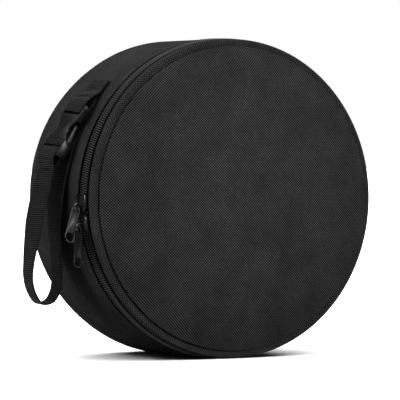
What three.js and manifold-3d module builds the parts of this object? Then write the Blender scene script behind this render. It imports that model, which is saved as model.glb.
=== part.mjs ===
// A round, padded storage bag that stands on its rim. A zip runs round its front edge,
// and a webbing strap hangs in a loop from a side-release buckle on its wall.
// Millimetres, +Z up. The drum's axis runs along Y, the front panel faces -Y, the strap
// is on the -X side, and the origin is the middle of the foot that the bag stands on.
import * as THREE from 'three';
import { mergeVertices } from 'three/addons/utils/BufferGeometryUtils.js';
import Module from 'manifold-3d';

const wasm = await Module();
wasm.setup();

// Drum
const DRUM_RADIUS = 109.6; // widest ring of the wall
const DRUM_DEPTH = 99; // front seam to back seam
const AXIS_HEIGHT = 107.4; // axis over the floor, less than the radius where the foot is pressed flat
const FOOT_CENTRE = 58; // middle of the foot, behind the front seam
const PANEL_RADIUS = 103.4;
const PANEL_CROWN = 10; // rise of a panel's middle over its seam
const PANEL_FULLNESS = 5; // power of the crown's fall towards the rim
const WALL = 3; // padded cloth
const STRIP_WALL = 2; // the narrow strip in front of the zip
const HEM = 1.5; // folded cloth beside the zip
const GAP = 0.3; // clearance between neighbouring pieces
const RING_STEPS = 72;

// Zip, with places measured behind the front seam
const ZIP_CENTRE = 12.9;
const ZIP_HALF_WINDOW = 7.2; // middle of the coil to a hem
const HEM_REACH = 2.5; // hem over the tape
const HINGE_HALF_ANGLE = 32; // half of the arc at +X where cloth bridges the zip
const TAPE = 0.7;
const TAPE_DEPTH = HEM + 0.5; // tape's face under the wall's face
const TAPE_CLEARANCE = 0.6; // half of the slit between the two tapes
const COIL_WIDTH = 8.4;
const COIL_RISE = 0.65; // coil's crest over the wall's face

// Sliders and pulls
const SLIDER_LENGTH = 11.4;
const SLIDER_MOUTH_WIDTH = 12.2;
const SLIDER_TAIL_WIDTH = 11;
const SLIDER_PLATE = 1.3;
const SLIDER_CLEARANCE = 0.35;
const BAIL_OFFSET = 2.8; // bail's middle, down the chain from the slider's middle
const BAIL_INNER = 1.85;
const BAIL_BAR = 0.9;
const BAIL_WIDTH = 0.9;
const PULL_THICKNESS = 1.4;
const PULL_LENGTH = 26.5; // pivot to the round end
const PULL_EYE_WIDTH = 6;
const PULL_EYE_EDGE = 0.5; // metal beside the eye's slot
const PULL_END_WIDTH = 8.4;
const PULL_END_HOLE = 3; // radius
const PIVOT_RISE = 2.3; // pull's middle over the slider's plate
// One row for each slider: its angle round the drum from +X, which way its mouth faces
// along the chain, and how its pull hangs: turned on the wall, raised off it, and rolled to
// the front about its own length, in degrees.
const SLIDERS = [
  { name: 'upper', angle: 181.1, mouth: 1, pullSkew: 28, pullTilt: -1.5, pullRoll: 25 },
  { name: 'lower', angle: 188, mouth: -1, pullSkew: -4, pullTilt: 11, pullRoll: 15 },
];

// Strap and buckle
const WEBBING_WIDTH = 25;
const WEBBING = 1.5;
const WEBBING_LIFT = 1.3; // middle of webbing that lies on the wall, over the wall's face
const BUCKLE_REACH = 116.3; // buckle's outer face from the drum's axis
const BUCKLE_LEAN = 31.8; // from plumb, lower end outwards
const BUCKLE_TURN = 5; // in its own face, front side lower
const BUCKLE_CENTRE = 43; // behind the front seam
const BUCKLE_START = -2.5; // socket's end, along the buckle from the point nearest the axis
const BUCKLE_HALF_WIDTH = 15;
const BUCKLE_PIVOT = 20; // place along the buckle that BUCKLE_TURN turns about
const SOCKET_LENGTH = 27;
const SOCKET_END_THICKNESS = 4.3;
const SOCKET_MOUTH_THICKNESS = 6.8;
const SOCKET_WAIST = 8.6; // half width between the side windows
const POCKET_TOP = -1.9;
const POCKET_FLOOR = -5.2;
const POCKET_DEPTH = 15;
const PLUG_LENGTH = 12;
const SLOT_WIDTH = WEBBING_WIDTH + 0.9;
const SLOT = 3.4;
const BAR = 4.2; // bar that webbing wraps, along the buckle
const BAR_TOP = -1; // bar's faces under the buckle's outer face
const BAR_FLOOR = -4.2;

// Rings of the wall: how far behind the front seam, and how far inside the widest ring.
const WALL_SECTIONS = [
  { behind: 0, inset: 5.9 },
  { behind: 3.2, inset: 3.7 },
  { behind: 7, inset: 2.3 },
  { behind: 14, inset: 1.85 },
  { behind: 21, inset: 1.5 },
  { behind: 40, inset: 0.4 },
  { behind: 62, inset: 0 },
  { behind: 82, inset: 0.3 },
  { behind: 91, inset: 0.9 },
  { behind: 96, inset: 2.8 },
  { behind: DRUM_DEPTH, inset: 5.7 },
];

const radians = THREE.MathUtils.degToRad;

// Radius of the wall's outer face at a ring, by a cubic through the sections.
function wallRadius(behind) {
  const last = WALL_SECTIONS.length - 1;
  const place = THREE.MathUtils.clamp(behind, 0, DRUM_DEPTH);
  let i = 0;
  while (i < last - 1 && place > WALL_SECTIONS[i + 1].behind) i += 1;
  const slope = (k) => {
    const before = WALL_SECTIONS[Math.max(k - 1, 0)];
    const after = WALL_SECTIONS[Math.min(k + 1, last)];
    return (after.inset - before.inset) / (after.behind - before.behind);
  };
  const start = WALL_SECTIONS[i];
  const end = WALL_SECTIONS[i + 1];
  const span = end.behind - start.behind;
  const u = (place - start.behind) / span;
  const fromStart = (1 + 2 * u) * (1 - u) ** 2 * start.inset + u * (1 - u) ** 2 * span * slope(i);
  const fromEnd = u * u * (3 - 2 * u) * end.inset - u * u * (1 - u) * span * slope(i + 1);
  return DRUM_RADIUS - fromStart - fromEnd;
}

// Outermost radius at a ring: the wall's face, or the coil's crest where that stands higher.
function crestRadius(behind) {
  const across = (behind - ZIP_CENTRE) / ZIP_HALF_WINDOW;
  return wallRadius(behind) + COIL_RISE * Math.max(0, 1 - across ** 4);
}

// Draws every layer of the wall in towards the axis where the floor presses the drum flat.
function pressToFloor(geometry) {
  const position = geometry.getAttribute('position');
  for (let i = 0; i < position.count; i += 1) {
    const x = position.getX(i);
    const z = position.getZ(i);
    const radius = Math.hypot(x, z);
    if (z >= 0 || radius < PANEL_RADIUS / 2) continue;
    const floorReach = (AXIS_HEIGHT * radius) / -z;
    const press = Math.max(0, crestRadius(position.getY(i)) - floorReach);
    const scale = (radius - press) / radius;
    position.setXYZ(i, x * scale, position.getY(i), z * scale);
  }
  return geometry;
}

// Closed section of a band that follows the wall: x is the radius, y the place behind the
// front seam. outer and inner give the depth of its faces under the wall's face.
function bandSection(stations, outer, inner) {
  const at = (behind, depth) => new THREE.Vector2(wallRadius(behind) - depth, behind);
  const outerFace = stations.map((behind) => at(behind, outer(behind)));
  const innerFace = stations.map((behind) => at(behind, inner(behind))).reverse();
  return [...outerFace, ...innerFace];
}

// A whole ring of a closed section.
function ring(section) {
  return pressToFloor(new THREE.LatheGeometry([...section, section[0]], RING_STEPS));
}

class DrumArc extends THREE.Curve {
  constructor(from, to) {
    super();
    this.from = radians(from);
    this.to = radians(to);
  }

  getPoint(u, target = new THREE.Vector3()) {
    const angle = THREE.MathUtils.lerp(this.from, this.to, u);
    return target.set(DRUM_RADIUS * Math.cos(angle), 0, DRUM_RADIUS * Math.sin(angle));
  }
}

// Part of a ring, between two angles round the drum from +X towards +Z.
function ringArc(section, from, to) {
  const outline = section.map((point) => new THREE.Vector2(-point.y, point.x - DRUM_RADIUS));
  const steps = Math.ceil((RING_STEPS * (to - from)) / 360);
  const extrudePath = new DrumArc(from, to);
  return pressToFloor(new THREE.ExtrudeGeometry(new THREE.Shape(outline), { steps, extrudePath }));
}

const spread = (from, to, steps) =>
  Array.from({ length: steps + 1 }, (_, i) => THREE.MathUtils.lerp(from, to, i / steps));

// Domed panel, flat in the middle and rolling down to its rim. side is -1 for the front
// and 1 for the back, and seam is where its rim lies.
function panel(seam, side) {
  const faceAt = (radius) => PANEL_CROWN * (1 - (radius / PANEL_RADIUS) ** PANEL_FULLNESS);
  const outer = [0, 45, 66, 80, 90, 98, PANEL_RADIUS].map(
    (radius) => new THREE.Vector2(radius, seam + side * faceAt(radius)),
  );
  const inner = [96, 84, 66, 45, 0].map(
    (radius) => new THREE.Vector2(radius, seam + side * Math.max(0, faceAt(radius) - WALL)),
  );
  const profile = [...outer, ...inner];
  return new THREE.LatheGeometry(side < 0 ? profile : profile.reverse(), RING_STEPS);
}

const FRONT_HEM = ZIP_CENTRE - ZIP_HALF_WINDOW;
const BACK_HEM = ZIP_CENTRE + ZIP_HALF_WINDOW;

function frontGusset() {
  const hemStart = FRONT_HEM - HEM_REACH - 2 * GAP;
  const stations = [0, 2, hemStart, hemStart + GAP, FRONT_HEM];
  const inner = (behind) => (behind > hemStart ? HEM : STRIP_WALL);
  return ring(bandSection(stations, () => 0, inner));
}

function mainGusset() {
  const hemEnd = BACK_HEM + HEM_REACH + GAP;
  const stations = [BACK_HEM, hemEnd, hemEnd + GAP, 40, 62, 82, 91, 96, DRUM_DEPTH];
  const inner = (behind) => (behind > hemEnd ? WALL : HEM);
  return ring(bandSection(stations, () => 0, inner));
}

// Strip of tape between two places behind the front seam.
function zipTape(from, to) {
  const section = bandSection([from, to], () => TAPE_DEPTH, () => TAPE_DEPTH + TAPE);
  return ringArc(section, HINGE_HALF_ANGLE, 360 - HINGE_HALF_ANGLE);
}

// The closed coil: two rounded rows of turns with a shallow furrow where they mesh.
function zipChain() {
  const half = COIL_WIDTH / 2;
  const floor = TAPE_DEPTH - 1.5 * GAP;
  const outline = [
    { across: -half, depth: floor },
    { across: -half, depth: 0.5 },
    { across: -0.7 * half, depth: -0.4 },
    { across: -0.28 * half, depth: -COIL_RISE },
    { across: 0, depth: -0.3 },
    { across: 0.28 * half, depth: -COIL_RISE },
    { across: 0.7 * half, depth: -0.4 },
    { across: half, depth: 0.5 },
    { across: half, depth: floor },
  ];
  const section = outline.map(({ across, depth }) => {
    const behind = ZIP_CENTRE + across;
    return new THREE.Vector2(wallRadius(behind) - depth, behind);
  });
  return ringArc(section, HINGE_HALF_ANGLE, 360 - HINGE_HALF_ANGLE);
}

// Plain cloth between the two hems, where the zip stops and the lid folds.
function zipHinge() {
  const stations = spread(FRONT_HEM + GAP, BACK_HEM - GAP, 3);
  const reach = HINGE_HALF_ANGLE - 0.3;
  return ringArc(bandSection(stations, () => 0.2, () => STRIP_WALL), -reach, reach);
}

// Joins and cuts

function solidOf(geometry) {
  const bare = new THREE.BufferGeometry();
  bare.setAttribute('position', geometry.getAttribute('position').clone());
  const merged = mergeVertices(geometry.index ? bare.setIndex(geometry.index.clone()) : bare, 1e-4);
  return new wasm.Manifold(
    new wasm.Mesh({
      numProp: 3,
      vertProperties: merged.getAttribute('position').array,
      triVerts: new Uint32Array(merged.index.array),
    }),
  );
}

function geometryOf(solid) {
  const { vertProperties, triVerts } = solid.getMesh();
  const geometry = new THREE.BufferGeometry();
  geometry.setAttribute('position', new THREE.BufferAttribute(vertProperties, 3));
  geometry.setIndex(new THREE.BufferAttribute(triVerts, 1));
  return geometry;
}

// A box between two corners.
function block(low, high) {
  const size = high.map((value, i) => value - low[i]);
  const middle = high.map((value, i) => (value + low[i]) / 2);
  return solidOf(new THREE.BoxGeometry(...size).translate(...middle));
}

// A flat outline in X and Y with a thickness in Z.
function plate(shape, low, high, curveSegments = 6) {
  const settings = { depth: high - low, bevelEnabled: false, curveSegments };
  return solidOf(new THREE.ExtrudeGeometry(shape, settings).translate(0, 0, low));
}

// An outline in X and Z with a width in Y, centred on Y.
function sideways(shape, width) {
  const settings = { depth: width, bevelEnabled: false, curveSegments: 8 };
  const geometry = new THREE.ExtrudeGeometry(shape, settings).translate(0, 0, -width / 2);
  return solidOf(geometry.rotateX(Math.PI / 2));
}

const outlineOf = (points) => new THREE.Shape(points.map(([x, y]) => new THREE.Vector2(x, y)));

// Pieces on the wall have X down along them, Y towards the front and Z outwards.

// Slider: a plate over the coil with a flange down each side, and an arched bail on top.
// Its underside is the wall's face at the coil's middle.
function slider(mouth) {
  const half = SLIDER_LENGTH / 2;
  const top = COIL_RISE + SLIDER_CLEARANCE + SLIDER_PLATE;
  const channel = COIL_WIDTH / 2 + SLIDER_CLEARANCE;
  const wide = SLIDER_MOUTH_WIDTH / 2;
  const narrow = SLIDER_TAIL_WIDTH / 2;
  const plan = new THREE.Shape();
  plan.moveTo(-half * mouth, -narrow + 1);
  plan.quadraticCurveTo(-half * mouth, -narrow, (1 - half) * mouth, -narrow);
  plan.lineTo(half * 0.3 * mouth, -wide);
  plan.quadraticCurveTo(half * mouth, -wide, half * mouth, -wide * 0.45);
  plan.lineTo(half * mouth, wide * 0.45);
  plan.quadraticCurveTo(half * mouth, wide, half * 0.3 * mouth, wide);
  plan.lineTo((1 - half) * mouth, narrow);
  plan.quadraticCurveTo(-half * mouth, narrow, -half * mouth, narrow - 1);
  plan.closePath();
  const body = plate(plan, -HEM, top, 4);
  const roof = COIL_RISE + SLIDER_CLEARANCE;
  const passage = block([-half - 1, -channel, -HEM - 1], [half + 1, channel, roof]);

  const arch = new THREE.Shape();
  const outer = BAIL_INNER + BAIL_BAR;
  arch.moveTo(outer, -PIVOT_RISE - 0.2);
  arch.lineTo(outer, 0);
  arch.absarc(0, 0, outer, 0, Math.PI, false);
  arch.lineTo(-outer, -PIVOT_RISE - 0.2);
  arch.lineTo(-BAIL_INNER, -PIVOT_RISE - 0.2);
  arch.lineTo(-BAIL_INNER, 0);
  arch.absarc(0, 0, BAIL_INNER, Math.PI, 0, true);
  arch.lineTo(BAIL_INNER, -PIVOT_RISE - 0.2);
  arch.closePath();
  const bail = sideways(arch, BAIL_WIDTH).translate([BAIL_OFFSET, 0, top + PIVOT_RISE]);
  return geometryOf(body.subtract(passage).add(bail));
}

// Pull: a flat tab with an eye round the bail at its pivot and a hole in its round end.
function pull() {
  const eye = PULL_EYE_WIDTH / 2;
  const end = PULL_END_WIDTH / 2;
  const endCentre = PULL_LENGTH - end;
  const barHalf = PULL_THICKNESS / 2;
  const shape = new THREE.Shape();
  shape.moveTo(-barHalf, -eye + 1.4);
  shape.quadraticCurveTo(-barHalf, -eye, 1, -eye);
  shape.lineTo(endCentre, -end);
  shape.absarc(endCentre, 0, end, -Math.PI / 2, Math.PI / 2, false);
  shape.lineTo(1, eye);
  shape.quadraticCurveTo(-barHalf, eye, -barHalf, eye - 1.4);
  shape.closePath();
  const slot = eye - PULL_EYE_EDGE;
  const slotEnd = BAIL_INNER + BAIL_BAR + 0.8;
  const eyeHole = new THREE.Path();
  eyeHole.moveTo(barHalf, -slot);
  eyeHole.lineTo(barHalf, slot);
  eyeHole.lineTo(slotEnd - 0.8, slot);
  eyeHole.quadraticCurveTo(slotEnd + 0.6, 0, slotEnd - 0.8, -slot);
  eyeHole.closePath();
  const endHole = new THREE.Path().absarc(endCentre, 0, PULL_END_HOLE, 0, 2 * Math.PI, true);
  shape.holes.push(eyeHole, endHole);
  return geometryOf(plate(shape, -barHalf, barHalf, 10));
}

// Room for webbing round a bar that lies from start to end along the buckle.
function cutForWebbing(solid, start, end, slotStart) {
  const half = SLOT_WIDTH / 2;
  return solid
    .subtract(block([slotStart, -half, -20], [slotStart + SLOT, half, 20]))
    .subtract(block([start, -half, BAR_TOP], [end, half, 20]))
    .subtract(block([start, -half, -20], [end, half, BAR_FLOOR]));
}

// Buckle socket: two plates joined at the bar's end, waisted where the prongs show.
function buckleSocket() {
  const half = BUCKLE_HALF_WIDTH;
  const plan = new THREE.Shape();
  plan.moveTo(0, -half + 2);
  plan.quadraticCurveTo(0, -half, 2, -half);
  plan.lineTo(9, -half + 0.6);
  plan.bezierCurveTo(14, -half + 2, 14.5, -SOCKET_WAIST, 19.5, -SOCKET_WAIST);
  plan.bezierCurveTo(23.5, -SOCKET_WAIST, 24, -half + 1.4, SOCKET_LENGTH, -half + 1);
  plan.lineTo(SOCKET_LENGTH, half - 1);
  plan.bezierCurveTo(24, half - 1.4, 23.5, SOCKET_WAIST, 19.5, SOCKET_WAIST);
  plan.bezierCurveTo(14.5, SOCKET_WAIST, 14, half - 2, 9, half - 0.6);
  plan.lineTo(2, half);
  plan.quadraticCurveTo(0, half, 0, half - 2);
  plan.closePath();
  const profile = outlineOf([
    [-1, 0],
    [-1, SOCKET_END_THICKNESS],
    [SOCKET_LENGTH + 1, SOCKET_MOUTH_THICKNESS],
    [SOCKET_LENGTH + 1, 0],
  ]);
  const side = sideways(profile, 2 * half + 2).mirror([0, 0, 1]);
  const body = plate(plan, -SOCKET_MOUTH_THICKNESS - 1, 0).intersect(side);
  const pocketStart = SOCKET_LENGTH - POCKET_DEPTH;
  const pocket = block([pocketStart, -half - 1, POCKET_FLOOR], [SOCKET_LENGTH + 1, half + 1, POCKET_TOP]);
  return geometryOf(cutForWebbing(body.subtract(pocket), -1, BAR, BAR));
}

// Buckle plug: a base with a slot for the strap, two sprung prongs and a middle tongue.
function bucklePlug() {
  const half = BUCKLE_HALF_WIDTH;
  const start = SOCKET_LENGTH + GAP;
  const end = start + PLUG_LENGTH;
  const base = new THREE.Shape();
  base.moveTo(start, -half + 1);
  base.lineTo(start + 3, -half);
  base.lineTo(end - 2, -half);
  base.quadraticCurveTo(end, -half, end, -half + 2);
  base.lineTo(end, half - 2);
  base.quadraticCurveTo(end, half, end - 2, half);
  base.lineTo(start + 3, half);
  base.lineTo(start, half - 1);
  base.closePath();
  const low = POCKET_FLOOR + GAP;
  const high = POCKET_TOP - GAP;
  const tip = SOCKET_LENGTH - POCKET_DEPTH + 2.4;
  const prong = (side) =>
    plate(
      outlineOf(
        [
          [start + 1, 8 * side],
          [start + 1, 12.6 * side],
          [tip + 3, 12.9 * side],
          [tip, 11.6 * side],
          [tip, 9.8 * side],
          [start - 6, 10.2 * side],
        ],
      ),
      low,
      high,
    );
  const tongue = block([SOCKET_LENGTH - 9, -3, low], [start + 1, 3, high]);
  const slotStart = end - BAR - SLOT;
  const body = cutForWebbing(plate(base, POCKET_FLOOR - 1, 0), end - BAR, end + 1, slotStart);
  return geometryOf(body.add(prong(1)).add(prong(-1)).add(tongue));
}

// Frame of the buckle in the plane across the drum's axis: along it, and outwards from it.
const BUCKLE_ALONG = new THREE.Vector2(-Math.sin(radians(BUCKLE_LEAN)), -Math.cos(radians(BUCKLE_LEAN)));
const BUCKLE_OUT = new THREE.Vector2(-Math.cos(radians(BUCKLE_LEAN)), Math.sin(radians(BUCKLE_LEAN)));

// A point of webbing on the middle of the buckle, where it dips as the buckle does.
function onBuckle(along, out) {
  const place = BUCKLE_OUT.clone()
    .multiplyScalar(BUCKLE_REACH + out)
    .addScaledVector(BUCKLE_ALONG, BUCKLE_START + along);
  const turn = Math.tan(radians(BUCKLE_TURN));
  return {
    x: place.x,
    y: BUCKLE_CENTRE + (along - BUCKLE_PIVOT) * turn,
    z: place.y,
    swing: -BUCKLE_ALONG.x * turn,
    dip: -BUCKLE_ALONG.y * turn,
  };
}

// A point of webbing on the drum, lift over the wall's face, with no dip.
function onWall(angle, lift, behind) {
  const radius = wallRadius(behind) + lift;
  const x = radius * Math.cos(radians(angle));
  const z = radius * Math.sin(radians(angle));
  return { x, y: behind, z, swing: 0, dip: 0 };
}

// Half turn of webbing round a bar, over its outer face and back under it. side is the
// direction along the buckle in which the turn bulges.
function roundBar(edge, side) {
  const middle = (BAR_TOP + BAR_FLOOR) / 2;
  const radius = (BAR_TOP - BAR_FLOOR) / 2 + GAP + WEBBING / 2;
  const centre = edge - side * GAP;
  return spread(90, -90, 6).map((angle) => {
    const turn = radians(angle);
    return onBuckle(centre + side * radius * Math.cos(turn), middle + radius * Math.sin(turn));
  });
}

// Flat webbing along rows of points. Each row gives its middle, and how far its front edge
// swings outwards and dips for each millimetre towards the front.
function webbing(rows, steps) {
  const centre = new THREE.CatmullRomCurve3(rows.map(({ x, y, z }) => new THREE.Vector3(x, y, z)));
  const leans = rows.map(({ swing, dip }) => new THREE.Vector3(-swing, -1, -dip));
  const lean = new THREE.CatmullRomCurve3(leans);
  const corners = [];
  for (let i = 0; i <= steps; i += 1) {
    const u = i / steps;
    const tangent = centre.getTangent(u);
    const across = lean.getPoint(u).multiplyScalar(WEBBING_WIDTH / 2);
    const out = new THREE.Vector3(-tangent.z, 0, tangent.x).normalize().multiplyScalar(WEBBING / 2);
    for (const [side, face] of [[1, 1], [1, -1], [-1, -1], [-1, 1]]) {
      corners.push(centre.getPoint(u).addScaledVector(across, side).addScaledVector(out, face));
    }
  }
  const index = [];
  const quad = (a, b, c, d) => index.push(a, b, c, a, c, d);
  for (let i = 0; i < steps; i += 1) {
    for (let k = 0; k < 4; k += 1) {
      const next = (k + 1) % 4;
      quad(4 * i + k, 4 * i + next, 4 * i + 4 + next, 4 * i + 4 + k);
    }
  }
  quad(3, 2, 1, 0);
  quad(4 * steps, 4 * steps + 1, 4 * steps + 2, 4 * steps + 3);
  return new THREE.BufferGeometry().setFromPoints(corners).setIndex(index);
}

// Tab: sewn to the wall at its top, over the socket's bar, and back under itself.
function strapTab() {
  const lift = WEBBING_LIFT;
  const rows = [
    onWall(134.6, lift, 46),
    onWall(137.4, lift, 45.4),
    onWall(140.2, lift + 0.4, 44.6),
    onWall(143.2, lift + 3.2, 43.6),
    onBuckle(-1.5, 0),
    ...roundBar(BAR, 1),
    onBuckle(-1.2, -5.3),
    onWall(144.6, lift, 42.6),
    onWall(143.2, lift, 43),
  ];
  return webbing(rows, 42);
}

// Strap: from its folded end behind the plug's bar, out through the slot and over the bar,
// down in a hanging loop, and up the wall to where it is sewn behind the socket.
function strap() {
  const plugEnd = SOCKET_LENGTH + GAP + PLUG_LENGTH;
  const folded = [onBuckle(plugEnd + 10, -4.2), onBuckle(plugEnd + 4, -5)];
  const loop = [
    { x: -119.9, y: 44, z: 22, swing: 0, dip: 0.03 },
    { x: -122.6, y: 44, z: 10, swing: -0.03, dip: 0 },
    { x: -125.2, y: 44, z: -2, swing: -0.05, dip: 0 },
    { x: -127.9, y: 44, z: -15, swing: -0.05, dip: 0 },
    { x: -130.2, y: 44, z: -28, swing: 0.05, dip: 0 },
    { x: -132.1, y: 44, z: -41, swing: 0.15, dip: 0 },
    { x: -132.7, y: 44, z: -52, swing: 0.2, dip: 0 },
    { x: -129.9, y: 44, z: -62.5, swing: 0.22, dip: 0 },
    { x: -124.4, y: 44, z: -69, swing: 0.22, dip: 0 },
    { x: -117, y: 44, z: -67.6, swing: 0.2, dip: 0 },
    { x: -112.4, y: 44, z: -60, swing: 0.18, dip: 0 },
    { x: -111.6, y: 44, z: -49, swing: 0.16, dip: 0 },
    { x: -112.4, y: 44, z: -35, swing: 0.15, dip: 0 },
    { x: -113.6, y: 44, z: -20, swing: 0.1, dip: 0 },
    { x: -113.4, y: 44, z: -6, swing: 0.04, dip: 0 },
    { x: -112.4, y: 44, z: 6, swing: 0, dip: 0 },
  ];
  const lift = WEBBING_LIFT;
  const sewn = [
    onWall(171, lift + 0.5, 44),
    onWall(166.5, lift, 44),
    onWall(162.5, lift, 44),
    onWall(158.5, lift, 44),
  ];
  const bar = roundBar(plugEnd - BAR, -1).reverse();
  return webbing([...folded, ...bar, onBuckle(plugEnd + 2, 0), ...loop, ...sewn], 96);
}

// Materials

function finish(color, roughness, metalness = 0) {
  return new THREE.MeshStandardMaterial({ color, roughness, metalness });
}
const CLOTH = finish(0x26262a, 0.9);
const WEBBING_CLOTH = finish(0x1c1c1e, 0.8);
const TAPE_CLOTH = finish(0x161618, 0.9);
const COIL = finish(0x1a1a1c, 0.5);
const PLASTIC = finish(0x1b1b1d, 0.45);
const ENAMEL = finish(0x232326, 0.3, 0.3);

// Assembly

const bag = new THREE.Group();
const drum = new THREE.Group();
drum.position.set(0, -FOOT_CENTRE, AXIS_HEIGHT);
bag.add(drum);

function addPiece(parent, name, geometry, material) {
  const mesh = new THREE.Mesh(geometry, material);
  mesh.name = name;
  parent.add(mesh);
  return mesh;
}

addPiece(drum, 'front_panel', panel(-GAP, -1), CLOTH);
addPiece(drum, 'front_gusset', frontGusset(), CLOTH);
const frontTape = zipTape(FRONT_HEM - HEM_REACH, ZIP_CENTRE - TAPE_CLEARANCE);
const backTape = zipTape(ZIP_CENTRE + TAPE_CLEARANCE, BACK_HEM + HEM_REACH);
addPiece(drum, 'zip_tape_front', frontTape, TAPE_CLOTH);
addPiece(drum, 'zip_tape_back', backTape, TAPE_CLOTH);
addPiece(drum, 'zip_chain', zipChain(), COIL);
addPiece(drum, 'zip_hinge', zipHinge(), CLOTH);
addPiece(drum, 'main_gusset', mainGusset(), CLOTH);
addPiece(drum, 'back_panel', panel(DRUM_DEPTH + GAP, 1), CLOTH);
addPiece(drum, 'strap_tab', strapTab(), WEBBING_CLOTH);
addPiece(drum, 'strap', strap(), WEBBING_CLOTH);

// A group on the wall with X along it, Y towards the front and Z outwards.
function wallGroup(along, outwards, origin) {
  const group = new THREE.Group();
  const forwards = new THREE.Vector3(0, -1, 0);
  group.setRotationFromMatrix(new THREE.Matrix4().makeBasis(along, forwards, outwards));
  group.position.copy(origin);
  drum.add(group);
  return group;
}

const inDrum = (plane, behind = 0) => new THREE.Vector3(plane.x, behind, plane.y);
const buckleOrigin = BUCKLE_OUT.clone()
  .multiplyScalar(BUCKLE_REACH)
  .addScaledVector(BUCKLE_ALONG, BUCKLE_START + BUCKLE_PIVOT);
const buckle = wallGroup(inDrum(BUCKLE_ALONG), inDrum(BUCKLE_OUT), inDrum(buckleOrigin, BUCKLE_CENTRE));
buckle.rotateZ(-radians(BUCKLE_TURN));
addPiece(buckle, 'buckle_socket', buckleSocket(), PLASTIC).position.x = -BUCKLE_PIVOT;
addPiece(buckle, 'buckle_plug', bucklePlug(), PLASTIC).position.x = -BUCKLE_PIVOT;

const zipSlope = Math.atan2(wallRadius(BACK_HEM) - wallRadius(FRONT_HEM), BACK_HEM - FRONT_HEM);
for (const { name, angle, mouth, pullSkew, pullTilt, pullRoll } of SLIDERS) {
  const out = new THREE.Vector2(Math.cos(radians(angle)), Math.sin(radians(angle)));
  const down = new THREE.Vector2(-out.y, out.x);
  const seat = inDrum(out.clone().multiplyScalar(wallRadius(ZIP_CENTRE)), ZIP_CENTRE);
  const carriage = wallGroup(inDrum(down), inDrum(out), seat);
  carriage.rotateX(-zipSlope);
  addPiece(carriage, `slider_${name}`, slider(mouth), ENAMEL);
  const tab = addPiece(carriage, `pull_${name}`, pull(), ENAMEL);
  tab.position.set(BAIL_OFFSET, 0, COIL_RISE + SLIDER_CLEARANCE + SLIDER_PLATE + PIVOT_RISE);
  tab.rotation.set(-radians(pullRoll), -radians(pullTilt), -radians(pullSkew), 'ZYX');
}

export default bag;
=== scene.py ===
"""Dresses a round pillow storage bag: a padded cloth drum on its rim, its coil zip, and a buckled strap."""

import math

import bmesh
import bpy
import numpy as np
from bpy.props import FloatProperty, FloatVectorProperty, PointerProperty
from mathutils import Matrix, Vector


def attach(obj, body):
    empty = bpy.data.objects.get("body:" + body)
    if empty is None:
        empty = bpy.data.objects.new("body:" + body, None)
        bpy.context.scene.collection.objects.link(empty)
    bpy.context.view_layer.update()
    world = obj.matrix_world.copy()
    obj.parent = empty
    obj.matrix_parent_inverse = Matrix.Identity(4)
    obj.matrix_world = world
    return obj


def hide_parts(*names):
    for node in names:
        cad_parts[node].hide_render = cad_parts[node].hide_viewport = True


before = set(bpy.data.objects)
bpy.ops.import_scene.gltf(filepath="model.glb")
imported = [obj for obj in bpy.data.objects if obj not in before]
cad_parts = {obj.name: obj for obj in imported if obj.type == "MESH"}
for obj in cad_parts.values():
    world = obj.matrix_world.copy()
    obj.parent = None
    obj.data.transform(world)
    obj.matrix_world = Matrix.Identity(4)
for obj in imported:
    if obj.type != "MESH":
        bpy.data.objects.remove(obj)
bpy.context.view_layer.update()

bl_info = {
    "name": "Pillow Storage Bag",
    "version": (1, 0, 0),
    "blender": (4, 5, 0),
    "location": "3D View > Sidebar > Bag",
    "description": "Builds the cloth, zip, buckle and strap of a round storage bag over its solids",
    "category": "Object",
}

# Shapes are worked out in millimetres in the drum's own frame: X to the right, Y behind the
# front seam and Z up from the drum's axis. DRUM is that frame's origin in the part's frame.
DRUM = np.array([0.0, -58.0, 107.4])
AXIS_HEIGHT = 107.4
DEPTH = 99.0
WIDEST = 109.6

# Rings of the wall: how far behind the front seam, and how far inside the widest ring.
WALL_BEHIND = np.array([0, 1.2, 3.2, 7, 14, 21, 40, 62, 82, 91, 96, DEPTH])
WALL_INSET = np.array([5.9, 3.0, 2.5, 2.2, 1.85, 1.5, 0.4, 0, 0.3, 0.9, 2.8, 5.7])

# Panels
PANEL_RADIUS = 103.4
PANEL_CROWN = 10.0
PANEL_FULLNESS = 5
PANEL_LIP = 0.3  # how far the dome's rim stands out from the seam
PANEL_SLACK = 0.6  # what the crown leaves for the padding to swell into
PANEL_FLAT = 86.0  # radius past which the mesh is finer
PANEL_ROLL = 101.2  # radius where the face starts to roll into the seam
PADDING_FRAMES = 16

# Seams round the panels
SEAM_SINK = 0.05  # how far the mouth lies under the wall's end
SEAM_PAST = 0.15  # and how far past it
SEAM_HALF = 0.9  # half the mouth's width
SEAM_CROSS = 0.15  # how far each side passes the middle at the bottom
NEAR_SHARE = 0.7  # share of its leg that each handle of the roll's cubic takes up
FAR_SHARE = 0.3
WALL_ROLL = 2.0  # how far from its end the wall's face starts to roll

# Zip: places behind the front seam, and the hems and cloth hinge beside it.
ZIP_CENTRE = 12.9
FRONT_HEM = 5.7
BACK_HEM = 20.1
HEM_CLOTH = 1.0  # thickness of a hem's fold
HEM_START = 0.9  # from a hem's edge to the flat of its face
HEM_WIDTH = 2.4  # cloth turned under
HEM_STEP = 0.8  # over which the wall's full thickness comes back
HINGE_ANGLE = 32.0  # half the hinge's arc in degrees
HINGE_GAP = 0.6  # between the hinge and the zip's end, in degrees
HINGE_TUCK = 0.5  # between the hinge's edge and a hem's
HINGE_DEPTHS = (0.4, 1.9)
COIL_RISE = 0.65  # how far the coil stands over the wall's face

# Strips under the zip: nearest and farthest from its middle, and depths of the top and bottom faces.
TAPE_REACH, TAPE_DEPTHS = (0.3, 9.6), (2.5, 3.0)
CORD_REACH, CORD_DEPTHS = (0.25, 3.9), (0.35, 0.75)

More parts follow.
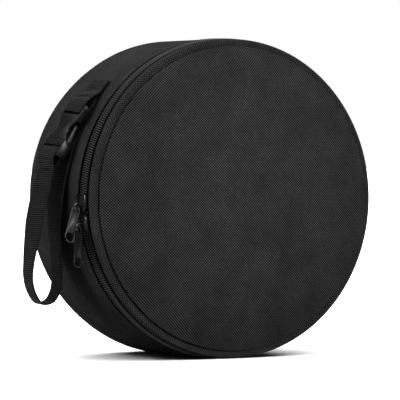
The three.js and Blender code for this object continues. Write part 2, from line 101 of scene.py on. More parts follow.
# A row of the coil: its wire's radius, its middle from the zip's, and half its width and height.
WIRE = 0.32
ROW_MIDDLE = 1.98
ROW_HALF = 2.05
ROW_HEIGHT = 0.62
TURN_POINTS = 10
WIRE_SIDES = 6

# Buckle: how far its face is from the axis, its lean from plumb and its turn in its own face.
BUCKLE_REACH = 116.3
BUCKLE_LEAN = math.radians(31.8)
BUCKLE_TURN = math.radians(5)
BUCKLE_DOWN = np.array([-math.sin(BUCKLE_LEAN), 0, -math.cos(BUCKLE_LEAN)])
BUCKLE_OUT = np.array([-math.cos(BUCKLE_LEAN), 0, math.sin(BUCKLE_LEAN)])
BUCKLE_CENTRE = 43.0
BUCKLE_START = -2.5
BUCKLE_PIVOT = 20.0
BAR = 4.2
BAR_INSET = 0.3
BAR_MIDDLE = -2.6
BAR_WRAP = 2.65  # middle of the webbing from the middle of the bar it wraps
PLUG_END = 39.3

# Webbing
WEBBING_WIDTH = 25.0
WEBBING_LIFT = 1.3  # its middle over the wall's face
WEBBING_HALF = 0.58  # half its thickness between ribs
SELVEDGE = 1.2
SELVEDGE_SHARE = 0.3  # share of the thickness left at its edges
RIB_BITE = 0.006  # share by which its width draws in between ribs
BEAD_LENGTH = 0.7  # bead of a heat-cut end
BEAD_HEIGHT = 1.1

# The strap's end behind the plug, as places past the plug's end and out from the buckle's face, and
# where the strap leaves the buckle.
STRAP_FOLD = ((10, -4.2), (4, -5))
STRAP_LEAVES = (PLUG_END + 2, 0)

# The loop of the strap: middle of the webbing, and how far its front edge swings outwards
# and dips for each millimetre towards the front.
STRAP_BEHIND = 44
STRAP_LOOP = (
    # x, z, swing, dip
    (-119.9, 22, 0, 0.03),
    (-122.6, 10, -0.03, 0),
    (-125.2, -2, -0.05, 0),
    (-127.9, -15, -0.05, 0),
    (-130.2, -28, 0.05, 0),
    (-132.1, -41, 0.15, 0),
    (-132.7, -52, 0.2, 0),
    (-129.9, -62.5, 0.22, 0),
    (-124.4, -69, 0.22, 0),
    (-117, -67.6, 0.2, 0),
    (-112.4, -60, 0.18, 0),
    (-111.6, -49, 0.16, 0),
    (-112.4, -35, 0.15, 0),
    (-113.6, -20, 0.1, 0),
    (-113.4, -6, 0.04, 0),
    (-112.4, 6, 0, 0),
)

# The strap's sewn end: angle round the drum, and rise over its usual lift off the wall.
STRAP_SEWN = ((171, 0.5), (166.5, 0), (162.5, 0), (158.5, 0))

# The tab from the wall to the buckle and back: angle, rise and place behind the front seam, and its
# places on the buckle, along it and out from its face.
TAB_OVER = ((134.6, 0, 46), (137.4, 0, 45.4), (140.2, 0.4, 44.6), (143.2, 3.2, 43.6))
TAB_MEETS = (-1.5, 0)
TAB_RETURNS = (-1.2, -5.3)
TAB_UNDER = ((144.6, 0, 42.6), (143.2, 0, 43))

# Sliders: name, angle round the drum from +X, and how the pull hangs from it in degrees: turned on
# the wall, raised off it, and rolled to the front about its own length.
SLIDERS = (("upper", 181.1, 28, -1.5, 25), ("lower", 188.0, -4, 11, 15))
PIVOT = np.array([2.8, 0, 4.6])  # pull's pivot in its slider's frame
PULL_LENGTH = 26.5
PULL_END = 4.2  # radius of its round end
PULL_EYE = 3.0  # half width at its eye
PULL_HEAD = 1.8  # how far its head reaches past the eye's middle
EYE_MIDDLE = 1.0  # from the pivot
RIM_INSET = 0.35
RIM_HALF_WIDTH = 0.35
RIM_HALF_HEIGHT = 0.85

# Sewing: where it is, radii of thread, lengths of stitches, and the corners of straight runs as
# places along and across the webbing.
HEM_SEWN = BACK_HEM + 1.7
HEM_THREAD = 0.2
WEBBING_THREAD = 0.24
WEBBING_STITCH = 1.7
STITCH_SHARE = 0.86  # share of a stitch's length that shows
STITCH_LIFT = 0.72  # thread off the webbing's middle
SHORTEST_STITCH = 0.3
TAB_SIDES = ((1.6, -10.5), (1.6, 10.5), (8.6, 10.5), (8.6, -10.5), (1.6, -10.5))
TAB_CROSS = ((8.6, 10.5), (8.6, -10.5), (1.6, 10.5))
STRAP_TACK = ((3, -10), (3, 10), (5.5, -10), (5.5, 10), (8, -10), (8, 10))

# Distant lamps: name, strength, width as seen from the bag, turn from the front and height in degrees,
# whether it falls on the floor alone or on all but the floor, and which of its reflections are seen.
SUNS = (
    ("floor_light", 9.5, 110, 180, 86, "INCLUDE", "ALL"),
    ("top_light", 2.8, 110, 180, 86, "EXCLUDE", "ALL"),
    ("back_light", 1.1, 40, 165, 30, "EXCLUDE", "DULL"),
    ("left_light", 2.9, 35, -92, 10, "EXCLUDE", "DULL"),
    ("right_light", 1.7, 35, 24, 8, "EXCLUDE", "ALL"),
)

# Small lamps: name, power, radius, cone in degrees, turn, height, distance, what each is aimed at, and
# which of its reflections are seen.
LAMPS = (
    ("front_light", 32, 0.12, 21, 4, 20, 0.8, (0, -0.058, 0.13), "ALL"),
    ("pull_light", 0.42, 0.06, 16, -101, -22, 0.2, (-0.112, -0.0394, 0.091), "GLOSSY"),
)

# The sky's glow from in front of the bag to behind it.
SKY_GLOW = {"From Min": -0.5, "From Max": 0.8, "To Min": 0.02, "To Max": 0.08}
WHITE = (1, 1, 1, 1)
FLOOR_HALF = 30
FLOOR_CELLS = 8

# Camera, fitted to the rings of the photo: turn and height in degrees, the rest in metres but for the lens.
CAMERA_TURN = -29.64
CAMERA_HEIGHT = 0.81
CAMERA_DISTANCE = 1.9115
CAMERA_LEFT = 0.02362  # its aim from the middle of the front seam
CAMERA_BELOW = 0.00091
CAMERA_LENS = 256.4
CAMERA_SENSOR = 36
CAMERA_SIGHT = 200


def length(name, description, default):
    """A size in metres."""
    return FloatProperty(name=name, description=description, default=default, unit="LENGTH", precision=5)


def colour(name, description, default):
    """A colour of a finish."""
    return FloatVectorProperty(name=name, description=description, default=default, subtype="COLOR")


class BagSizes(bpy.types.PropertyGroup):
    """Sizes of the bag's cloth, zip and thread."""

    weave: length("Weave", "Width of one thread of the cloth", 0.00092)
    padding: length("Padding", "Thickness of a padded panel", 0.0026)
    swell: length("Swell", "Most that a panel's padding swells", 0.0016)
    furrow: length("Furrow", "Depth of the seams round the panels", 0.0032)
    rib: length("Rib", "Pitch of the ribs across the webbing", 0.0015)
    rib_height: length("Rib height", "Height of a webbing rib", 0.0003)
    coil: length("Coil", "Pitch of the zip's turns", 0.00162)
    stitch: length("Stitch", "Length of one stitch", 0.0026)
    edge: length("Edge", "Rounding of moulded and cast edges", 0.0003)


class BagColours(bpy.types.PropertyGroup):
    """Colours of the bag's finishes and of the floor."""

    cloth: colour("Cloth", "Woven cloth of the drum", (0.024, 0.0239, 0.0236))
    webbing: colour("Webbing", "Strap and tab", (0.0085, 0.0085, 0.0085))
    # Tape and cords are black, and this colour is set far darker than the cloth's as painted shade for the gaps
    # between the coil's turns and the crevices beside the coil.
    tape: colour("Tape", "Zip tape", (0.0022, 0.0022, 0.0023))
    coil: colour("Coil", "Nylon coil of the zip", (0.043, 0.043, 0.043))
    plastic: colour("Plastic", "Moulded buckle", (0.0022, 0.0022, 0.0023))
    enamel: colour("Enamel", "Sliders and pulls", (0.003, 0.003, 0.0032))
    thread: colour("Thread", "Sewing thread", (0.012, 0.012, 0.0125))
    floor: colour("Floor", "Pale floor", (0.96, 0.96, 0.96))
    bounce: colour("Bounce", "Floor as the bag is lit by it", (0.14, 0.14, 0.14))


# Finishes


class Value:
    """A node's output that takes part in arithmetic: each operator adds one Math node."""

    def __init__(self, nodes, socket):
        self.nodes = nodes
        self.socket = socket

    def math(self, operation, *values):
        return self.nodes.node("ShaderNodeMath", {"operation": operation}, dict(enumerate(values)))

    def __add__(self, other):
        return self.math("ADD", self, other)

    __radd__ = __add__

    def __rsub__(self, other):
        return self.math("SUBTRACT", other, self)

    def __mul__(self, other):
        return self.math("MULTIPLY", self, other)

    __rmul__ = __mul__

    def __truediv__(self, other):
        return self.math("DIVIDE", self, other)

    def __pow__(self, other):
        return self.math("POWER", self, other)


class NodeSet:
    """The nodes of a material or a world, added and linked one call at a time."""

    def __init__(self, tree):
        self.tree = tree

    def node(self, kind, settings=None, inputs=None, output=0):
        """Adds a node, sets it up, fills or links its inputs, and gives back one of its outputs."""
        made = self.tree.nodes.new(kind)
        for key, value in (settings or {}).items():
            setattr(made, key, value)
        for key, value in (inputs or {}).items():
            self.put(made.inputs[key], value)
        return Value(self, made.outputs[output])

    def put(self, socket, value):
        """Links a socket to a node's output, or fills it with a plain value."""
        if isinstance(value, Value):
            self.tree.links.new(value.socket, socket)
        else:
            socket.default_value = value

    def split(self, seen, otherwise, end):
        """Sends one shader to the camera and another to everything else, through the tree's end node."""
        viewed = self.node("ShaderNodeLightPath")
        either = self.node("ShaderNodeMixShader", None, {0: viewed, 1: otherwise, 2: seen})
        self.put(self.tree.nodes[end].inputs["Surface"], either)


class Finish(NodeSet):
    """A material made of nodes round one Principled shader."""

    def __init__(self, name):
        self.material = bpy.data.materials.new(name)
        self.material.use_nodes = True
        super().__init__(self.material.node_tree)
        self.shader = self.tree.nodes["Principled BSDF"]

    def set(self, **values):
        """Fills or links the shader's sockets, named with underscores for spaces."""
        for name, value in values.items():
            self.put(self.shader.inputs[name.replace("_", " ")], value)
        return self.material

    def plane(self):
        """The two coordinates of the piece's own UV map, in metres."""
        where = self.node("ShaderNodeUVMap", {"uv_map": "along"})
        return [self.node("ShaderNodeSeparateXYZ", None, {0: where}, i) for i in (0, 1)]

    def noise(self, size, detail=2.0, roughness=0.5):
        """Noise in the object's frame whose features are about size metres across."""
        where = self.node("ShaderNodeTexCoord", None, None, 3)
        settings = {"Vector": where, "Scale": 1 / size, "Detail": detail, "Roughness": roughness}
        return self.node("ShaderNodeTexNoise", None, settings)

    def shade(self, tint, level):
        """A colour scaled by a value."""
        settings = {"data_type": "RGBA", "blend_type": "MULTIPLY"}
        return self.node("ShaderNodeMix", settings, {0: 1.0, 6: (*tint, 1), 7: level}, 2)

    def bump(self, height, distance, strength):
        """A normal bumped by a height from 0 to 1 that stands for a distance in metres."""
        inputs = {"Strength": strength, "Distance": distance, "Height": height}
        return self.node("ShaderNodeBump", None, inputs)


def wave(value, pitch):
    """Half sines from 0 to 1, one for each pitch of a coordinate."""
    turned_value = value.math("SINE", value * (math.pi / pitch))
    return turned_value.math("ABSOLUTE", turned_value)


def cloth_finish(finish, scene):
    """Plain weave: threads cross over and under in a checker, rounded across, with painted light in the colour:
    a painted highlight on the threads that pass over, and painted shade on those that pass under and where they
    dive.
    """
    along, across = finish.plane()
    pitch = scene.bag_sizes.weave
    cell = along.math("FLOOR", along / pitch) + across.math("FLOOR", across / pitch)
    over = cell.math("PINGPONG", cell, 1.0)
    warp = wave(along, pitch)
    weft = wave(across, pitch)
    warp_top = warp ** 0.5 * (0.45 + 0.55 * weft)
    weft_top = weft ** 0.5 * (0.45 + 0.55 * warp)
    height = over * warp_top + (1 - over) * weft_top
    # Painted light: threads that pass over are painted brighter (painted highlight), those that pass under
    # darker, and the colour falls towards black where threads dive (painted shade); mottle and fleck are random
    # tone.
    painted_weave_light = over * (2.45 * warp_top) + (1 - over) * (0.15 * weft_top)
    mottle = finish.noise(0.02, 3.0, 0.6)
    fleck = finish.noise(0.0016, 1.0)
    level = (0.05 + painted_weave_light) * (0.45 + 1.1 * mottle) * (0.6 + 0.8 * fleck)
    return finish.set(
        Base_Color=finish.shade(scene.bag_colours.cloth, level),
        Roughness=0.9 - 0.12 * height,
        Normal=finish.bump(height, 0.0002, 0.8),
        Specular_IOR_Level=0.03,
    )


def webbing_finish(finish, scene):
    """Ribbed webbing: crosswise ribs split into short floats by the warp, with painted light in the colour: a
    painted highlight on the rib crests and painted shade in the furrows and between floats.
    """
    along, across = finish.plane()
    rib = wave(along, scene.bag_sizes.rib)
    float_row = wave(across, 0.0011)
    wear = finish.noise(0.012, 3.0)
    # Painted light: the colour is brightest on the rib crests and falls nearly to black in the furrows and
    # between floats (painted highlight and painted shade); wear is random tone.
    level = (0.03 + 2.9 * rib * rib * rib * rib) * (0.8 + 0.25 * float_row) * (0.7 + 0.6 * wear)
    return finish.set(
        Base_Color=finish.shade(scene.bag_colours.webbing, level),
        Roughness=0.72 - 0.16 * rib,
        Normal=finish.bump(rib * (0.6 + 0.4 * float_row), 0.00012, 0.6),
        Specular_IOR_Level=0.08,
    )


def tape_finish(finish, scene):
    """Fine twill tape: close diagonal ribs."""
    along, across = finish.plane()
    twill = wave(along + across, 0.0006)
    return finish.set(
        Base_Color=finish.shade(scene.bag_colours.tape, 0.6 + 0.6 * twill),
        Roughness=0.9 - 0.1 * twill,
        Normal=finish.bump(twill, 0.0001, 0.6),
        Specular_IOR_Level=0.01,
    )


def coil_finish(finish, scene):
    """Nylon: satin, a little worn in patches."""
    rub = finish.noise(0.004, 2.0)
    return finish.set(
        Base_Color=finish.shade(scene.bag_colours.coil, 0.7 + 0.6 * rub),
        Roughness=0.32 + 0.16 * rub,
        Specular_IOR_Level=0.4,
    )


def plastic_finish(finish, scene):
    """Moulded acetal: satin with a fine spark-eroded grain and faint handling marks."""
    grain = finish.noise(0.00035, 2.0)
    rub = finish.noise(0.009, 3.0)
    return finish.set(
        Base_Color=finish.shade(scene.bag_colours.plastic, 0.85 + 0.3 * rub),
        Roughness=0.22 + 0.12 * rub,
        Normal=finish.bump(grain, 0.00002, 0.5),
        Specular_IOR_Level=0.28,
    )


def enamel_finish(finish, scene):
    """Black enamel on cast metal: glossy, with slight waves, and duller where it is handled."""
    ripple = finish.noise(0.003, 1.0)
    rub = finish.noise(0.005, 3.0)
    return finish.set(
        Base_Color=finish.shade(scene.bag_colours.enamel, 0.8 + 0.5 * rub),
        Roughness=0.16 + 0.1 * rub,
        Metallic=0.05,
        Coat_Weight=0.3,
        Coat_Roughness=0.08,
        Normal=finish.bump(ripple, 0.00005, 0.25),
    )


def thread_finish(finish, scene):
    """Twisted polyester thread: fine diagonal plies."""
    along, across = finish.plane()
    ply = wave(along + across, 0.0003)
    return finish.set(
        Base_Color=finish.shade(scene.bag_colours.thread, 0.6 + 0.7 * ply),
        Roughness=0.7 - 0.1 * ply,
        Specular_IOR_Level=0.4,
    )


FINISHES = {
    "woven_cloth": cloth_finish,
    "ribbed_webbing": webbing_finish,
    "twill_tape": tape_finish,
    "nylon_coil": coil_finish,
    "moulded_plastic": plastic_finish,
    "black_enamel": enamel_finish,
    "sewing_thread": thread_finish,
}


def finish_named(name, scene):
    """A finish is made once and shared by its pieces."""
    return bpy.data.materials.get(name) or FINISHES[name](Finish(name), scene)


# Meshes


def metres(points):
    """Points of the drum's frame in millimetres, moved to the part's frame in metres."""
    return (points + DRUM) / 1000


def full_turn(count):
    """Even angles round a circle."""
    return np.arange(count) * 2 * np.pi / count


def grid_corners(rows, columns):
    """Row and column numbers of the four corners of each cell of a grid, in order round the cell."""
    i, j = np.meshgrid(np.arange(rows), np.arange(columns), indexing="ij")
    return (i, j), (i, j + 1), (i + 1, j + 1), (i + 1, j)


def resample(at, base, table):
    """Columns of a table, interpolated from their base to other places."""
    return np.stack([np.interp(at, base, column) for column in table.T], -1)


def add_object(name, mesh):
    """Puts a mesh in the scene as an object at the origin."""
    made = bpy.data.objects.new(name, mesh)
    bpy.context.scene.collection.objects.link(made)
    return made


def smooth_object(name, points, faces, uv):
    """A smooth-shaded object of points in metres, with a UV pair for each corner of its faces."""
    mesh = bpy.data.meshes.new(name)
    mesh.from_pydata(points.tolist(), [], faces)
    layer = mesh.uv_layers.new(name="along")
    layer.data.foreach_set("uv", uv.astype(np.float32).ravel())
    mesh.polygons.foreach_set("use_smooth", np.ones(len(mesh.polygons), bool))
    mesh.update()
    return add_object(name, mesh)


def solid_from(name, points, quads, fans, quad_uv, fan_uv):
    """An object of points in metres, with its faces turned round if they enclose a negative volume."""
    halves = np.concatenate([quads[:, [0, 1, 2]], quads[:, [0, 2, 3]], fans])
    a, b, c = (points[halves[:, k]] for k in range(3))
    if (a * np.cross(b, c)).sum() < 0:
        quads, fans = quads[:, ::-1], fans[:, ::-1]
        quad_uv, fan_uv = quad_uv[:, ::-1], fan_uv[:, ::-1]
    uv = np.concatenate([quad_uv.reshape(-1, 2), fan_uv.reshape(-1, 2)])
    return smooth_object(name, points, quads.tolist() + fans.tolist(), uv)


def loft(name, sections, ring=False):
    """Skin through closed sections, given as rows of points in the drum's frame.

    A ring joins its last section to its first. Otherwise each end is closed by a fan about the
    middle of its section. The UV map runs along the path and round the section, in metres.
    """
    rows, columns = sections.shape[:2]
    corners = grid_corners(rows if ring else rows - 1, columns)
    quads = np.stack([p % rows * columns + q % columns for p, q in corners], -1)
    path = np.concatenate([sections, sections[:1]]) if ring else sections
    step = np.linalg.norm(np.diff(path, axis=0), axis=2).max(1)
    along = np.concatenate([[0], np.cumsum(step)]) / 1000
    around_step = np.linalg.norm(np.roll(sections, -1, axis=1) - sections, axis=2).mean(0)
    around = np.concatenate([[0], np.cumsum(around_step)]) / 1000
    quad_uv = np.stack([np.stack([along[p], around[q]], -1) for p, q in corners], -2)
    points = sections.reshape(-1, 3)
    fans, fan_uv = np.zeros((0, 3), int), np.zeros((0, 3, 2))
    if not ring:
        points = np.concatenate([points, sections[0].mean(0)[None], sections[-1].mean(0)[None]])
        start, last = rows * columns, (rows - 1) * columns
        k = np.arange(columns)
        near = (k + 1) % columns
        first_fan = np.stack([near, k, np.full(columns, start)], -1)
        last_fan = np.stack([last + k, last + near, np.full(columns, start + 1)], -1)
        fans = np.concatenate([first_fan, last_fan])
        fan_uv = np.zeros((2 * columns, 3, 2))
    return solid_from(name, metres(points), quads.reshape(-1, 4), fans, quad_uv.reshape(-1, 4, 2), fan_uv)


def copies(name, sections, centres, axes):
    """One small lofted shape repeated, with its x, y and z along three directions at each centre."""
    rows, columns = sections.shape[:2]
    count = len(centres)
    corners = grid_corners(rows - 1, columns)
    quads = np.stack([p * columns + q % columns for p, q in corners], -1)
    quads = quads.reshape(1, -1, 4) + (np.arange(count) * rows * columns)[:, None, None]
    points = centres[:, None, None, :] + np.einsum("rck,nkx->nrcx", sections, axes)
    uv = np.stack([np.stack([p, q], -1) / 1000 for p, q in corners], -2)
    uv = np.broadcast_to(uv.reshape(1, -1, 4, 2), (count, (rows - 1) * columns, 4, 2))
    no_fans, no_uv = np.zeros((0, 3), int), np.zeros((0, 3, 2))
    points = metres(points.reshape(-1, 3))
    made = solid_from(name, points, quads.reshape(-1, 4), no_fans, uv.reshape(-1, 4, 2), no_uv)
    weld(made)
    return made


def weld(made, distance=1e-6):
    """Merges points that lie together, as at a pole."""
    work = bmesh.new()
    work.from_mesh(made.data)
    bmesh.ops.remove_doubles(work, verts=work.verts, dist=distance)
    work.to_mesh(made.data)
    work.free()


def dress(made, body, finish, slot, *nodes):
    """Gives a piece its finish and its body, and lets it stand for CAD nodes; slot is not used."""
    made.data.materials.clear()
    made.data.materials.append(finish)
    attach(made, body)
    if nodes:
        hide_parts(*nodes)
    return made


# The drum


def wall_radius(behind):
    """Radius of the wall's face: a cubic through the rings, with each ring's slope from its two neighbours."""
    place = np.clip(behind, 0, DEPTH)
    i = np.clip(np.searchsorted(WALL_BEHIND, place) - 1, 0, len(WALL_BEHIND) - 2)
    order = np.arange(len(WALL_BEHIND))
    low, high = np.maximum(order - 1, 0), np.minimum(order + 1, order[-1])
    slope = (WALL_INSET[high] - WALL_INSET[low]) / (WALL_BEHIND[high] - WALL_BEHIND[low])
    span = WALL_BEHIND[i + 1] - WALL_BEHIND[i]
    u = (place - WALL_BEHIND[i]) / span
    inset = (1 + 2 * u) * (1 - u) ** 2 * WALL_INSET[i] + u * (1 - u) ** 2 * span * slope[i]
    inset += u * u * (3 - 2 * u) * WALL_INSET[i + 1] - u * u * (1 - u) * span * slope[i + 1]
    return WIDEST - inset


def press_to_floor(points):
    """Draws each layer of the wall towards the axis by what its outermost face would pass the floor."""
    x, y, z = np.moveaxis(points, -1, 0)
    radius = np.hypot(x, z)
    rise = COIL_RISE * np.maximum(0, 1 - ((y - ZIP_CENTRE) / (BACK_HEM - ZIP_CENTRE)) ** 4)
    crest = wall_radius(y) + rise
    reach = np.where(z < 0, AXIS_HEIGHT * radius / np.maximum(-z, 1e-3), 1e6)
    scale = 1 - np.maximum(0, crest - reach) / radius
    return np.stack([x * scale, y, z * scale], -1)


def cloth_give(angle, behind):
    """Unevenness of padded cloth in millimetres: long swells, a sag of the top, and puckers by the seams."""
    swell = 0.22 * np.sin(3 * angle + 0.7) * np.sin(0.05 * behind + 1.1)
    swell = swell + 0.16 * np.sin(7 * angle - 0.05 * behind)
    pucker = 0.12 * np.sin(61 * angle + 2 * np.sin(5 * angle)) + 0.08 * np.sin(97 * angle + 1.3)
    near_seam = np.exp(-(((DEPTH - behind) / 7) ** 2)) + np.exp(-(((behind - BACK_HEM) / 5) ** 2))
    share = np.clip((behind - BACK_HEM) / (DEPTH - BACK_HEM), 0, 1)
    sag = 1.6 * np.clip(np.sin(angle), 0, 1) ** 5 * np.sin(np.pi * share)
    return swell * np.clip((behind - BACK_HEM) / 8, 0, 1) - np.abs(pucker) * near_seam - sag


def around_drum(behind, depth, angles, give=None):
    """A section of (behind, depth under the wall's face) carried round the drum through the given angles."""
    theta = np.radians(angles)[:, None]
    radius = wall_radius(behind) - depth + np.zeros_like(theta)
    if give is not None:
        radius = radius + give(theta, behind[None])
    points = np.stack([radius * np.cos(theta), behind + np.zeros_like(radius), radius * np.sin(theta)], -1)
    return press_to_floor(points)


def flat_section(low, high, depths, count):
    """Section of a flat strip between two places behind the front seam and two depths."""
    t = np.linspace(low, high, count)
    return np.concatenate([t, t[::-1]]), np.repeat(depths, count)


def dome(radius, crown):
    """How far a panel's face stands out from its seam: the crown, less a fifth power of the radius."""
    return PANEL_LIP + crown * (1 - (radius / PANEL_RADIUS) ** PANEL_FULLNESS)


def seam_roll(end, inwards, depth, crown=None):
    """Cloth rolling into the seam at one end of the wall, as radii and places behind the front seam.

    A cubic leaves the face of the wall, or of the panel where crown is given, turns at the seam's
    mouth and dives between the two. inwards is the direction from the wall's end to its middle.
    """
    slant = math.sqrt(0.5)
    mouth = np.array([wall_radius(end) - SEAM_SINK, end - inwards * SEAM_PAST])
    dive, aside = np.array([-slant, inwards * slant]), np.array([-slant, -inwards * slant])
    if crown is None:
        aside = -aside
        start = np.array([wall_radius(end + inwards * WALL_ROLL), end + inwards * WALL_ROLL])
    else:
        start = np.array([PANEL_ROLL, end - inwards * dome(PANEL_ROLL, crown)])
    corner = mouth + aside * SEAM_HALF
    near = start + NEAR_SHARE * (corner - start) if crown else np.array([start[0], corner[1]])
    bottom = mouth + dive * depth - aside * SEAM_CROSS
    far = corner + FAR_SHARE * (bottom - corner)
    u = np.linspace(0, 1, 13)[:, None]
    curve = (1 - u) ** 3 * start + 3 * u * (1 - u) ** 2 * near + 3 * u * u * (1 - u) * far + u ** 3 * bottom
    return curve[:, 0], curve[:, 1]


def hem_fold(edge, side):
    """Half turn of cloth at a hem's edge, which lies behind it where side is 1, and before it where it is -1."""
    half = HEM_CLOTH / 2
    turn = np.radians(np.linspace(-80, 80, 7))
    return edge + side * half * (1 - np.cos(turn)), half - half * np.sin(turn)


def wall_band(name, end, hem, inner, depth, give=None):
    """Wall between a seam and a hem: the face rolls into the seam, folds at the hem and comes back inside.

    end and hem are places behind the front seam, and inner is the wall's thickness.
    """
    inwards = 1 if hem > end else -1
    fold, fold_depth = hem_fold(hem, -inwards)
    roll_radius, roll = seam_roll(end, inwards, depth)
    share = np.linspace(0, 1, 40)
    crowded = share - 0.1 * np.sin(2 * np.pi * share)
    outer = hem - inwards * HEM_START + (roll[0] - hem + inwards * HEM_START) * crowded
    inside = outer[:-2][::-1]
    thick = HEM_CLOTH + (inner - HEM_CLOTH) * np.clip((np.abs(inside - hem) - HEM_WIDTH) / HEM_STEP, 0, 1)
    behind = np.concatenate([fold, outer[:-1], roll, inside])
    under = np.concatenate([fold_depth, 0 * outer[:-1], wall_radius(roll) - roll_radius, thick])
    return loft(name, around_drum(behind, under, np.arange(0, 360, 1.0), give), ring=True)


class BAG_OT_wall(bpy.types.Operator):
    """Builds the drum's wall: the strip before the zip, the wide wall behind it and the hinge across it"""

    bl_idname = "bag.wall"
    bl_label = "Wall"

    def execute(self, context):
        sizes = context.scene.bag_sizes
        finish = finish_named("woven_cloth", context.scene)
        depth = sizes.furrow * 1000
        strip = wall_band("front_strip", 0.0, FRONT_HEM, 2.0, depth)
        wall = wall_band("drum_wall", DEPTH, BACK_HEM, 3.0, depth, cloth_give)
        section = flat_section(FRONT_HEM + HINGE_TUCK, BACK_HEM - HINGE_TUCK, HINGE_DEPTHS, 14)
        angles = np.linspace(HINGE_GAP - HINGE_ANGLE, HINGE_ANGLE - HINGE_GAP, 64)
        bridge = loft("lid_hinge", around_drum(*section, angles))
        dress(strip, "bag", finish, "cloth", "front_gusset")
        dress(wall, "bag", finish, "cloth", "main_gusset")
        dress(bridge, "bag", finish, "cloth", "zip_hinge")
        return {"FINISHED"}


def disc_grid(rings):
    """Squares inside squares laid on circles: ring number and angle of each point of a square grid."""
    a, b = np.meshgrid(np.arange(-rings, rings + 1.0), np.arange(-rings, rings + 1.0), indexing="ij")
    wide = np.abs(a) >= np.abs(b)
    angle = np.where(wide, b / np.where(a == 0, 1, a), 2 - a / np.where(b == 0, 1, b)) * np.pi / 4
    angle = np.where(np.where(wide, a < 0, b < 0), angle + np.pi, angle)
    return np.maximum(np.abs(a), np.abs(b)).astype(int), angle


def panel_sheet(name, end, inwards, depth, crown):
    """Face of a panel, laid out as rings of points, and how freely each point may swell."""
    face = np.concatenate([np.linspace(0, PANEL_FLAT, 34), np.linspace(PANEL_FLAT, PANEL_ROLL, 15)[1:-1]])
    roll_radius, roll = seam_roll(end, inwards, depth, crown)
    radius = np.concatenate([face, roll_radius])
    behind = np.concatenate([end - inwards * dome(face, crown), roll])
    ring, angle = disc_grid(len(radius) - 1)
    free = np.clip(1 - (np.arange(len(radius)) / (len(face) - 1)) ** 6, 0, 1)[ring].ravel()
    points = np.stack([radius[ring] * np.cos(angle), behind[ring], radius[ring] * np.sin(angle)], -1)
    count = len(points)
    first, second, third, fourth = (p * count + q for p, q in grid_corners(count - 1, count - 1))
    quads = np.stack([first, fourth, third, second], -1).reshape(-1, 4)
    quads = quads if inwards > 0 else quads[:, ::-1]
    flat = points.reshape(-1, 3)
    uv = flat[quads.ravel()][:, [0, 2]] / 1000
    return smooth_object(name, metres(flat), quads.tolist(), uv), free


def swell_panel(made, free, most):
    """Lets the padding press the cloth outwards against its sewn rim, and caps how far a point moves."""
    scene = bpy.context.scene
    group = made.vertex_groups.new(name="sewn")
    group.add(np.flatnonzero(free == 0).tolist(), 1.0, "REPLACE")
    cloth = made.modifiers.new("padding", "CLOTH")
    settings = cloth.settings
    settings.quality = 5
    settings.mass = 0.3
    settings.tension_stiffness = settings.compression_stiffness = 25
    settings.shear_stiffness = 12
    settings.bending_stiffness = 2
    settings.use_pressure = True
    settings.uniform_pressure_force = 1.5
    settings.vertex_group_mass = "sewn"
    settings.effector_weights.gravity = 0
    cloth.collision_settings.use_collision = False
    cloth.point_cache.frame_start = 1
    cloth.point_cache.frame_end = PADDING_FRAMES
    for step in range(1, PADDING_FRAMES + 1):
        scene.frame_set(step)
    count = len(made.data.vertices)
    before, after = np.empty(3 * count, np.float32), np.empty(3 * count, np.float32)
    made.data.vertices.foreach_get("co", before)
    evaluated = made.evaluated_get(bpy.context.evaluated_depsgraph_get())
    evaluated.data.vertices.foreach_get("co", after)
    move = (after - before).reshape(-1, 3)
    size = np.linalg.norm(move, axis=1, keepdims=True)
    move *= free[:, None] * most * np.tanh(size / most) / np.maximum(size, 1e-9)
    made.modifiers.remove(cloth)
    made.vertex_groups.remove(group)
    made.data.vertices.foreach_set("co", before + move.ravel())
    made.data.update()
    scene.frame_set(1)


class BAG_OT_panels(bpy.types.Operator):
    """Builds the two padded panels, swollen against their seams"""

    bl_idname = "bag.panels"
    bl_label = "Panels"

    def execute(self, context):
        sizes = context.scene.bag_sizes
        finish = finish_named("woven_cloth", context.scene)
        panels = (("front_face", "front_panel", 0.0, 1), ("back_face", "back_panel", DEPTH, -1))
        for name, node, end, inwards in panels:
            made, free = panel_sheet(name, end, inwards, sizes.furrow * 1000, PANEL_CROWN - PANEL_SLACK)
            swell_panel(made, free, sizes.swell)
            wall = made.modifiers.new("padding", "SOLIDIFY")
            wall.thickness = sizes.padding
            wall.offset = -1
            dress(made, "bag", finish, "cloth", node)
        return {"FINISHED"}


# The zip


def coil_row(name, side, pitch):
    """One row of the coil: a flat helix of wire beside the zip's middle, half a turn off its neighbour."""
    arc = np.radians(360 - 2 * HINGE_ANGLE - 1.0)
    radius = wall_radius(ZIP_CENTRE)
    turns = int(arc * radius / pitch)
    psi = np.arange(turns * TURN_POINTS + 1) * 2 * np.pi / TURN_POINTS
    turn = psi / (2 * np.pi) + (0.5 if side > 0 else 0)
    theta = np.radians(HINGE_ANGLE + 0.5) + arc * turn / (turns + 0.5)
    across = side * (ROW_MIDDLE - ROW_HALF * np.cos(psi))
    height = -ROW_HEIGHT + ROW_HEIGHT * np.sin(psi)
    slope_across, slope_height = side * ROW_HALF * np.sin(psi), ROW_HEIGHT * np.cos(psi)
    slope = np.hypot(slope_across, slope_height)
    phi = full_turn(WIRE_SIDES)
    behind = ZIP_CENTRE + across[:, None] + WIRE * np.sin(phi) * (slope_height / slope)[:, None]
    lift = height[:, None] - WIRE * np.sin(phi) * (slope_across / slope)[:, None]
    around = theta[:, None] + WIRE * np.cos(phi) / radius
    level = wall_radius(np.clip(behind, FRONT_HEM, BACK_HEM)) + lift
    points = np.stack([level * np.cos(around), behind, level * np.sin(around)], -1)
    return loft(name, press_to_floor(points))


def arc_strip(name, side, reach, depths):
    """Flat strip of tape round the drum under one side of the zip."""
    low, high = sorted(ZIP_CENTRE + side * place for place in reach)
    angles = np.linspace(HINGE_ANGLE, 360 - HINGE_ANGLE, 300)
    return loft(name, around_drum(*flat_section(low, high, depths, 9), angles))


